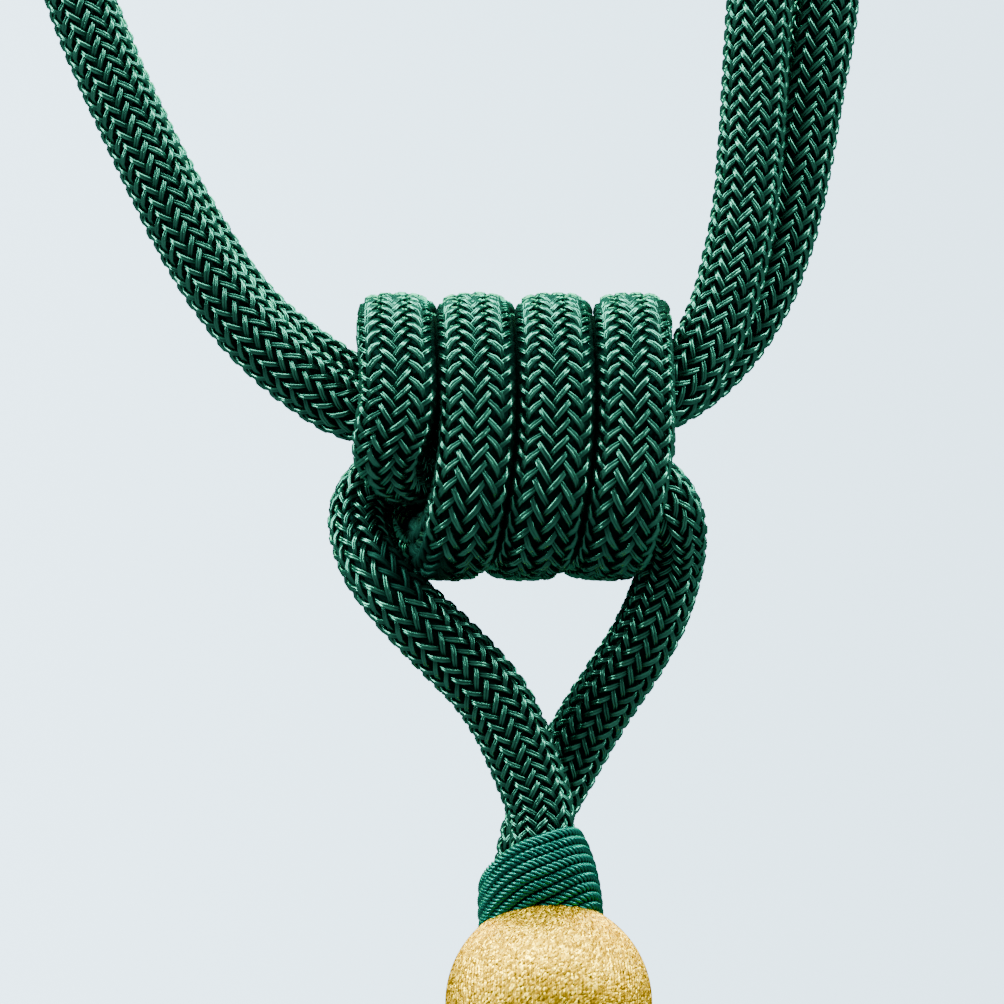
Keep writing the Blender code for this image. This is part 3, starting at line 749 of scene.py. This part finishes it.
# %% Tassel cord: both halves
HALVES_MEET = len(LEFT_LEG) + 39  # the route point behind the knot where one half follows the other
START_HIDDEN = (13, 15)  # between these route points each half runs unseen inside the knot
END_HIDDEN = (last_wrap + 4, last_wrap + 7)
half_way = at_point(tassel_cord, HALVES_MEET)
core_from, core_to = (at_point(tassel_cord, number) for number in START_HIDDEN)
end_core_from, end_core_to = (at_point(tassel_cord, number) for number in END_HIDDEN)
knot_start = braided_cord("knot_cord_start", tassel_cord, [
    (0.0, core_from, FINE), (core_from, core_to, COARSE), (core_to, half_way, FINE)], 21)
knot_end = braided_cord("knot_cord_end", tassel_cord, [
    (half_way, end_core_from, FINE), (end_core_from, end_core_to, COARSE),
    (end_core_to, tassel_cord["rows"][-1], FINE)], 31)

for piece in (ring_left, ring_right, knot_start, knot_end):
    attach(piece, "root")
for piece in (ring_left, ring_right):
    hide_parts("embrace_cord")
for piece in (knot_start, knot_end):
    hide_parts("tassel_cord")


# %% [markdown]
# ## Bound neck
# Below the crossing, the cord's two ends are bound together with a thin cord of four plies. Its
# rounds are drawn tight side by side. They climb steeply on the left and level out to the right,
# and they slant more near the ball than at the top.
# A striped texture would leave the outline smooth, and the photograph shows a bump for each round.
# So the plies are real tubes, twisted round a slanting helix. A sleeve inside, painted in flat
# shade, stands for the rounds beneath, so that nothing shines through between them.

# %% Head's directions
BALL_CENTRE = KNOT + MM * np.array([5.2, -5.2, -90.2])
BALL_RADIUS = 16.5 * MM
HEAD_AXIS = unit(np.array([-0.055, 0.29, 0.955]))
HEAD_SIDE = unit(np.array([1.0, 0.0, 0.0]) - HEAD_AXIS * HEAD_AXIS[0])
HEAD_BACK = np.cross(HEAD_AXIS, HEAD_SIDE)

# %% Bound neck: the section that the rounds go round
NECK_BOTTOM, NECK_TOP = 12.0 * MM, 26.5 * MM
# share of the height, half width side to side, half width front to back
NECK_SECTIONS = np.array([
    (0.0, 10.1, 7.6), (0.3, 10.1, 10.8), (0.5, 9.8, 12.1), (0.7, 9.3, 12.4),
    (0.88, 8.5, 12.5), (1.0, 7.7, 12.3)])
NECK_SQUARENESS = 2.4
NECK_SHIFT = -0.5 * MM  # the binding sits a little to the left of the ball's middle


def neck_surface(angle, height, inset):
    """A point on the neck at an angle and a height over the ball's centre, moved in by an inset."""
    share = np.clip((height - NECK_BOTTOM) / (NECK_TOP - NECK_BOTTOM), 0.0, 1.0)
    half_side = np.interp(share, NECK_SECTIONS[:, 0], NECK_SECTIONS[:, 1]) * MM - inset
    half_depth = np.interp(share, NECK_SECTIONS[:, 0], NECK_SECTIONS[:, 2]) * MM - inset
    power = 2 / NECK_SQUARENESS
    across = NECK_SHIFT + half_side * np.sign(np.cos(angle)) * np.abs(np.cos(angle)) ** power
    away = half_depth * np.sign(np.sin(angle)) * np.abs(np.sin(angle)) ** power
    return BALL_CENTRE + across[..., None] * HEAD_SIDE + away[..., None] * HEAD_BACK \
        + height[..., None] * HEAD_AXIS


# %% Bound neck: the line that the rounds follow
BINDING_RADIUS = 0.88 * MM
BINDING_PITCH = 1.8 * MM
FIRST_HEIGHT, LAST_HEIGHT = 5.2 * MM, 23.9 * MM  # of a round's middle; the first ones dip into the ball
FIRST_TILT, LAST_TILT = 6.5 * MM, 2.8 * MM
HIGHEST = np.radians(-20.0)  # where a round is highest: at the right, a little to the front
ROUND_POINTS = 150  # of the helix, for each round
BINDING_STEP = 0.45 * MM


def binding_line():
    """Points at equal steps along a helix whose rounds slant, and the way along and out at each."""
    rounds = (LAST_HEIGHT - FIRST_HEIGHT) / BINDING_PITCH
    turn = np.linspace(0.0, rounds, int(rounds * ROUND_POINTS))
    tilt = np.interp(turn / rounds, [0.0, 1.0], [FIRST_TILT, LAST_TILT])
    angle = 2 * np.pi * turn
    height = FIRST_HEIGHT + BINDING_PITCH * turn + tilt * np.cos(angle - HIGHEST)
    line = neck_surface(angle, height, BINDING_RADIUS)
    length = summed(step_lengths(line))
    even = np.arange(0.0, length[-1], BINDING_STEP)
    line = np.stack([np.interp(even, length, line[:, i]) for i in range(3)], -1)
    along = unit(np.gradient(line, axis=0))
    outward = line - BALL_CENTRE - ((line - BALL_CENTRE) @ HEAD_AXIS)[:, None] * HEAD_AXIS
    outward = unit(outward - (outward * along).sum(1, keepdims=True) * along)
    return even, line, along, outward


# %% Bound neck: plies and sleeve
BINDING_LAY = 3.6 * MM  # a ply goes once round its cord in this length
PLIES = 4
PLY_SIDES = 6
PLY_RADIUS = BINDING_RADIUS / (1 + np.sqrt(2))  # four round plies that touch fill the cord
PLY_PRESSED = 1.1  # they flatten against each other, so each is drawn this much thicker
FACES_IN, FACES_OUT = -0.3, 0.7  # a ply that faces outwards this much is fully in painted shade or fully lit
PLY_MAP_STEP = 100 * MM  # between the plies' maps, so that their streaks differ
SLEEVE_ROWS, SLEEVE_SIDES = 12, 40
SLEEVE_BOTTOM = 9.0 * MM
SLEEVE_INSET = 1.5 * BINDING_RADIUS


def plies():
    """The cord's plies: tubes whose middles turn about the line once in each lay."""
    even, line, along, outward = binding_line()
    up = np.cross(along, outward)
    ply = np.arange(PLIES)[:, None, None]
    turned = 2 * np.pi * (even[None, :, None] / BINDING_LAY + ply / PLIES)
    ring = np.linspace(0.0, 2 * np.pi, PLY_SIDES, endpoint=False)
    radius = PLY_PRESSED * PLY_RADIUS
    out = (BINDING_RADIUS - PLY_RADIUS) * np.cos(turned) + radius * np.cos(ring)
    rise = (BINDING_RADIUS - PLY_RADIUS) * np.sin(turned) + radius * np.sin(ring)
    points = line[:, None] + out[..., None] * outward[:, None] + rise[..., None] * up[:, None]
    facing = np.cos(ring - turned)  # 1 on the ply's outer side, -1 towards the cord's middle
    # painted shade: a ply is drawn darker on its side that faces the cord's middle
    tone_and_painted_shade = np.interp(facing, [FACES_IN, FACES_OUT], [PAINTED_SHADE_LEVEL, 1.0])
    around = radius * (ring - turned)
    yarn_map = np.stack(np.broadcast_arrays(even[None, :, None] + PLY_MAP_STEP * ply, around), -1)
    walls, caps = tube_faces(PLIES, len(even), PLY_SIDES, flipped=True)
    return {"points": points.reshape(-1, 3), "creased": np.zeros(tone_and_painted_shade.size, bool), "tone_and_painted_shade": tone_and_painted_shade.ravel(),
            "yarn_map": yarn_map.reshape(-1, 2), "walls": walls, "caps": caps}


def sleeve():
    """A smooth sleeve under the rounds, painted in flat shade, whose top slants as the last round does."""
    angle = np.linspace(0.0, 2 * np.pi, SLEEVE_SIDES, endpoint=False)[None, :]
    top = LAST_HEIGHT + LAST_TILT * np.cos(angle - HIGHEST)
    height = SLEEVE_BOTTOM + np.linspace(0.0, 1.0, SLEEVE_ROWS)[:, None] * (top - SLEEVE_BOTTOM)
    angle, height = np.broadcast_arrays(angle, height)
    return painted_shade_tube(neck_surface(angle, height, SLEEVE_INSET).reshape(-1, 3), SLEEVE_SIDES)


# %% [markdown]
# The binding glitters because a strand of metallised film is wound with each ply. On the plies'
# crowns it gives the eye small aqua sparkles, and elsewhere only a cooler, bluer green than the
# braid's. So this finish has the rayon's filaments, in a cooler green and with a duller gloss. It
# turns to smooth metal where film lies on top: bands that run slantwise over the ply's own map.

# %% Glitter thread
BINDING_GREEN = ("00201A", "12584B", "1A6757")  # painted shade between the plies, usual and light
FILM_COLOUR = "126354"
FILM_TURN = 1.1 * MM  # from one turn of film to the next, measured along the ply
WAVE_RUN = 0.628  # a diagonal wave of scale 1 repeats after this length
FILM_SHARE = 0.35  # the higher, the more of the ply's surface the film covers
YARN_ROUGHNESS, FILM_ROUGHNESS = 0.5, 0.22


def glitter(finish, colours):
    """Rayon filaments with a duller gloss, and smooth metal in slanting bands, where film is."""
    colour, tone_and_painted_shade, _ = filaments(finish, *colours)
    place = add(finish, "UVMap", {}, uv_map="yarn")
    bands = add(finish, "TexWave", {
        "Vector": place.outputs["UV"], "Scale": WAVE_RUN / FILM_TURN, "Distortion": 0.6, "Detail": 1.0,
        "Detail Scale": 1.0}, bands_direction="DIAGONAL")
    film = add(finish, "Math", {
        0: bands.outputs["Fac"], 1: 1 - FILM_SHARE}, operation="GREATER_THAN").outputs["Value"]
    # the film's colour shows only where the tone, with its painted shade, is high
    shown = add(finish, "Math", {0: film, 1: tone_and_painted_shade}, operation="MULTIPLY")
    # a Mix node takes its two colours at inputs 6 and 7 and gives their mix at output 2
    mixed = add(finish, "Mix", {0: shown.outputs["Value"], 6: colour, 7: linear(FILM_COLOUR)},
                data_type="RGBA")
    metal = add(finish, "Math", {0: film, 1: LUSTRE}, operation="MAXIMUM")
    gloss = add(finish, "MapRange", {"Value": film, "To Min": YARN_ROUGHNESS, "To Max": FILM_ROUGHNESS})
    dress(finish, Base_Color=mixed.outputs[2], Metallic=metal.outputs["Value"],
          Roughness=gloss.outputs["Result"])


binding_finish = new_finish("Twisted green thread wound with film")
glitter(binding_finish, BINDING_GREEN)
neck_rounds = joined_piece("neck_rounds", [sleeve(), plies()], binding_finish)
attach(neck_rounds, "root")
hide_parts("neck_binding")

# %% [markdown]
# ## Ball
# The head is a turned wooden ball with a hole down its middle. Gold thread is drawn through the
# hole and over the outside again and again, till threads lie side by side all the way round. So
# they run from the neck down to the skirt, and all crowd together at both holes.
# A sphere that swells over each thread shows the threads in its outline and where the light rakes
# over them. Their still finer twist is left to the finish.

# %% Ball
THREADS = 150
THREAD_SAMPLES = 4  # points across a thread
BALL_ROWS = 100
THREAD_RELIEF = 0.16 * MM
THREAD_PITCH = 2 * np.pi * BALL_RADIUS / THREADS


def ball():
    """A sphere whose radius swells over each thread, which runs from pole to pole.

    The swelling is the size of a sine that passes zero between the threads, and it fades towards
    the poles. The map gives the length along a thread and the place across the threads.
    """
    columns = THREADS * THREAD_SAMPLES
    down = np.linspace(0.0, np.pi, BALL_ROWS + 1)[1:-1][:, None]
    column = np.arange(columns)[None, :]
    angle = 2 * np.pi * column / columns
    wave = np.abs(np.sin(THREADS / 2 * angle))
    radius = BALL_RADIUS - THREAD_RELIEF * (1 - wave) * np.sin(down)
    points = BALL_CENTRE + (radius * np.sin(down) * np.cos(angle))[..., None] * HEAD_SIDE \
        + (radius * np.sin(down) * np.sin(angle))[..., None] * HEAD_BACK \
        + (radius * np.cos(down))[..., None] * HEAD_AXIS
    points = points.reshape(-1, 3)
    poles = np.stack([BALL_CENTRE + HEAD_AXIS * BALL_RADIUS, BALL_CENTRE - HEAD_AXIS * BALL_RADIUS])
    across = np.broadcast_to(column * THREAD_PITCH / THREAD_SAMPLES, (BALL_ROWS - 1, columns))
    yarn_map = np.stack([np.broadcast_to(BALL_RADIUS * down, across.shape), across], -1).reshape(-1, 2)
    yarn_map = np.vstack([yarn_map, [(0.0, 0.0), (np.pi * BALL_RADIUS, 0.0)]])
    ring = np.arange(columns)
    top = np.stack([np.full(columns, len(points)), ring, (ring + 1) % columns], -1)
    last = len(points) - columns
    bottom = np.stack([np.full(columns, len(points) + 1), last + (ring + 1) % columns, last + ring], -1)
    return new_piece("gold_ball", np.vstack([points, poles]),
                     [grid_faces(BALL_ROWS - 1, columns), top, bottom], gold_finish, yarn_map)


# %% [markdown]
# Gold thread is a silk core with a flat strip of gold-coloured film wound round it. Each turn of
# film is a tiny mirror that faces its own way. So the ball glitters in short strokes, cream-white
# where the light comes back and ochre beside it, and some core shows between the turns.
# Mirrors as small as these would take millions of faces. So the finish makes them with Voronoi
# cells, stretched and slanted across the threads. Each cell has its own colour and its own bulge.

# %% Gold thread
TURN_LENGTH, TURN_WIDTH = 0.5 * MM, 0.3 * MM  # of a turn of film; real ones are about half as big
TURN_SLANT = np.radians(40.0)
TURN_BULGE = 0.08 * MM
CORE_SHARE = 0.15  # cells with a lower number than this show the core
GOLD_ROUGHNESS = (0.3, 0.55)  # of the smoothest turn and of the roughest
GOLD_TINT = "FFC020"  # of the gloss on a turn of film that turns away


def gold_thread(finish):
    """Slanting cells with a random shade, a bulge each, and metal except where the core shows."""
    place = add(finish, "UVMap", {}, uv_map="yarn")
    slanted = add(finish, "Mapping", {
        "Vector": place.outputs["UV"], "Rotation": (0.0, 0.0, TURN_SLANT)})
    sized = add(finish, "Mapping", {
        "Vector": slanted.outputs["Vector"], "Scale": (1 / TURN_LENGTH, 1 / TURN_WIDTH, 1.0)})
    turns_of_film = add(finish, "TexVoronoi", {"Vector": sized.outputs["Vector"], "Scale": 1.0})
    number = add(finish, "SeparateColor", {"Color": turns_of_film.outputs["Color"]})
    shade = ramp(finish, number.outputs["Red"],
                 (0.0, "664E00"), (0.35, "947600"), (0.7, "BC9A00"), (0.94, "FFE040"))
    film = add(finish, "Math", {0: number.outputs["Green"], 1: CORE_SHARE}, operation="GREATER_THAN")
    gloss = add(finish, "MapRange", {
        "Value": number.outputs["Blue"], "To Min": GOLD_ROUGHNESS[0], "To Max": GOLD_ROUGHNESS[1]})
    bulge = add(finish, "Bump", {
        "Height": turns_of_film.outputs["Distance"], "Strength": 1.0, "Distance": TURN_BULGE}, invert=True)
    dress(finish, Base_Color=shade, Metallic=film.outputs["Value"], Roughness=gloss.outputs["Result"],
          Normal=bulge.outputs["Normal"], Specular_Tint=linear(GOLD_TINT))


gold_finish = new_finish("Gold thread of wound film")
gold_thread(gold_finish)
gold_ball = ball()
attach(gold_ball, "root")
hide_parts("ball_head")

# %% [markdown]
# ## Skirt
# The photograph ends at the ball, so the skirt is the usual one for such a tassel: a fringe of
# rayon yarn in the cord's green, gathered under the ball and cut off straight.
# Its yarns hang free and are all alike, so each is one thin four-sided tube. They leave the collar
# in a sunflower pattern, which fills a round bundle evenly, and each sways in its own way.

# %% Skirt
COLLAR_RADIUS = 9.5 * MM
SKIRT_FOOT = 108.8 * MM  # below the ball's centre
YARNS = 1100
YARN_RADIUS = 0.46 * MM
YARN_ROWS, YARN_SIDES = 11, 4
FLARE = np.array([(0.0, 0.95), (0.12, 1.1), (0.5, 1.36), (1.0, 1.55)])  # share of the way down, spread
SWAY = 0.5 * MM
SWAY_WAVES = (0.6, 1.6)  # the fewest and the most waves of sway in a yarn
STRAY = 0.03  # radians that a yarn's foot strays round the skirt
CUT_SPREAD = 0.5 * MM  # of where the yarns are cut off
SKIRT_TONE_SPREAD = 0.12
PAINTED_INNER_SHADE = 0.45  # painted shade: how much of its tone a yarn keeps in the middle of the bundle


def skirt():
    """Yarns hung from a sunflower pattern, each a golden angle on and a little further out.

    They spread as they go down, and each sways by a sine with a length and a start of its own.
    """
    random = np.random.default_rng(5)
    size = (YARNS, 1, 1)
    number = np.arange(YARNS).reshape(size)
    reach = np.sqrt((number + 0.5) / YARNS)
    down = np.linspace(0.0, 1.0, YARN_ROWS)[None, :, None]
    ring = np.linspace(0.0, 2 * np.pi, YARN_SIDES, endpoint=False)[None, None, :]
    flare = np.interp(down, FLARE[:, 0], FLARE[:, 1])
    waves, start = random.uniform(*SWAY_WAVES, size), random.uniform(0, 2 * np.pi, size)
    out = COLLAR_RADIUS * reach * flare + SWAY * np.sin(2 * np.pi * down * waves + start) * down
    turned = number * np.pi * (3 - np.sqrt(5)) + random.normal(0.0, STRAY, size) * down
    seat = np.sqrt(np.maximum(BALL_RADIUS ** 2 - out[:, :1] ** 2, 0))
    length = SKIRT_FOOT + random.normal(0.0, CUT_SPREAD, size) - seat
    x = out * np.cos(turned) + YARN_RADIUS * np.cos(ring)
    y = out * np.sin(turned) + YARN_RADIUS * np.sin(ring)
    x, y, z = np.broadcast_arrays(x, y, -(seat + length * down))
    points = BALL_CENTRE + np.stack([x, y, z], -1).reshape(-1, 3)
    # a random tone, with painted shade that darkens the yarns towards the middle of the bundle
    shade = random.normal(1.0, SKIRT_TONE_SPREAD, size) * (PAINTED_INNER_SHADE + (1 - PAINTED_INNER_SHADE) * reach)
    tone_and_painted_shade = np.broadcast_to(shade, x.shape).ravel()
    along = length * down + random.uniform(0.0, MAP_LENGTH, size)
    around = YARN_RADIUS * ring + np.tan(PLY_TWIST) * along
    yarn_map = np.stack(np.broadcast_arrays(along, around), -1).reshape(-1, 2)
    faces = tube_faces(YARNS, YARN_ROWS, YARN_SIDES)
    return new_piece("skirt_yarns", points, faces, skirt_finish, yarn_map, tone_and_painted_shade)


skirt_yarns = skirt()
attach(skirt_yarns, "root")
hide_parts("skirt")

# %% [markdown]
# ## Light and floor
# A wide, low soft box hangs high in front, a little to the left, so every yarn is bright along its
# upper edge and the gaps stay dark. An upright one at each side puts a line of light on the yarns
# that run downwards, and a fourth one shines on the back. The surroundings are a pale studio,
# brighter overhead than below. What the camera sees behind the tieback is a pale grey-blue, which
# lights nothing. The real tieback hangs on a wall, far above any floor, so the floor here takes the
# tieback's shadow, but neither lights it nor shows in its gloss.

# %% Studio
world = bpy.data.worlds.new("pale studio")
bpy.context.scene.world = world
world.use_nodes = True
SEEN_STRENGTH = 4.8
SEEN_RIGHT = 3.8  # the backdrop falls off a little from the picture's left edge to its right
HALF_VIEW = PICTURE * PIXEL / 2 / CAMERA_DISTANCE
DOME_STRENGTH = 2.0
direction = add(world, "TexCoord", {})
height = add(world, "SeparateXYZ", {"Vector": direction.outputs["Generated"]})
fall_off = add(world, "MapRange", {
    "Value": height.outputs["X"], "From Min": -HALF_VIEW, "From Max": HALF_VIEW,
    "To Min": SEEN_STRENGTH, "To Max": SEEN_RIGHT})
backdrop = add(world, "Background", {"Color": linear("CDEDFF"), "Strength": fall_off.outputs["Result"]})
dome_colour = ramp(world, add(world, "MapRange", {
    "Value": height.outputs["Z"], "From Min": -1.0, "From Max": 1.0}).outputs["Result"],
    (0.0, "9AA2A4"), (0.5, "7C8284"), (0.7, "A4ACAE"), (1.0, "F4F8FA"))
dome = add(world, "Background", {"Color": dome_colour, "Strength": DOME_STRENGTH})
rays = add(world, "LightPath", {})
studio = add(world, "MixShader", {0: rays.outputs["Is Camera Ray"], 1: dome.outputs["Background"],
                                  2: backdrop.outputs["Background"]})
world.node_tree.links.new(studio.outputs["Shader"], world.node_tree.nodes["World Output"].inputs["Surface"])

# %% Soft boxes
BOX_DISTANCE = 1.0  # metres from the knot
# name, azimuth from the front and elevation in degrees, width and height in metres, power in watts
SOFT_BOXES = (
    ("over", -12.0, 70.0, 3.6, 0.25, 108.0),
    ("left", -68.0, 24.0, 0.25, 0.7, 22.0),
    ("right", 68.0, 24.0, 0.25, 0.7, 9.0),
    ("back", 170.0, 45.0, 2.4, 0.3, 60.0))


def soft_box(name, azimuth, elevation, width, height, power):
    """An area light that faces the knot, at an azimuth from the front and an elevation."""
    light = bpy.data.lights.new(name, "AREA")
    light.shape = "RECTANGLE"
    light.size, light.size_y = width, height
    light.energy = power
    box = bpy.data.objects.new(name, light)
    azimuth, elevation = np.radians(azimuth), np.radians(elevation)
    towards = np.array([np.sin(azimuth) * np.cos(elevation), -np.cos(azimuth) * np.cos(elevation),
                        np.sin(elevation)])
    box.location = KNOT + BOX_DISTANCE * towards
    box.rotation_euler = Vector(-towards).to_track_quat("-Z", "Y").to_euler()
    bpy.context.scene.collection.objects.link(box)
    print(f"{name}: at {[round(float(v), 2) for v in box.location]}")


for box_settings in SOFT_BOXES:
    soft_box(*box_settings)

# %% Floor
FLOOR_SIDE = 3.0  # metres
FLOOR_GAP = 0.5 * MM  # the skirt ends this far over the floor
floor_mesh = bpy.data.meshes.new("floor")
floor_half = FLOOR_SIDE / 2
floor_height = cad_low[2] - FLOOR_GAP
floor_mesh.from_pydata([(-floor_half, -floor_half, floor_height), (floor_half, -floor_half, floor_height),
                        (floor_half, floor_half, floor_height), (-floor_half, floor_half, floor_height)],
                       [], [(0, 1, 2, 3)])
floor = bpy.data.objects.new("floor", floor_mesh)
bpy.context.scene.collection.objects.link(floor)
floor_finish = new_finish("Pale painted board")
board_grain = add(floor_finish, "TexNoise", {
    "Vector": add(floor_finish, "TexCoord", {}).outputs["Object"], "Scale": 40.0, "Detail": 4.0})
board_colour = ramp(floor_finish, board_grain.outputs["Fac"], (0.3, "E4E9EA"), (0.7, "EEF2F3"))
dress(floor_finish, Base_Color=board_colour, Roughness=0.6)
floor_mesh.materials.append(floor_finish)
floor.visible_glossy = floor.visible_diffuse = False  # seen by the camera alone

# %% Sizes
print("cad:", [round(v * 1000, 1) for v in cad_high - cad_low])
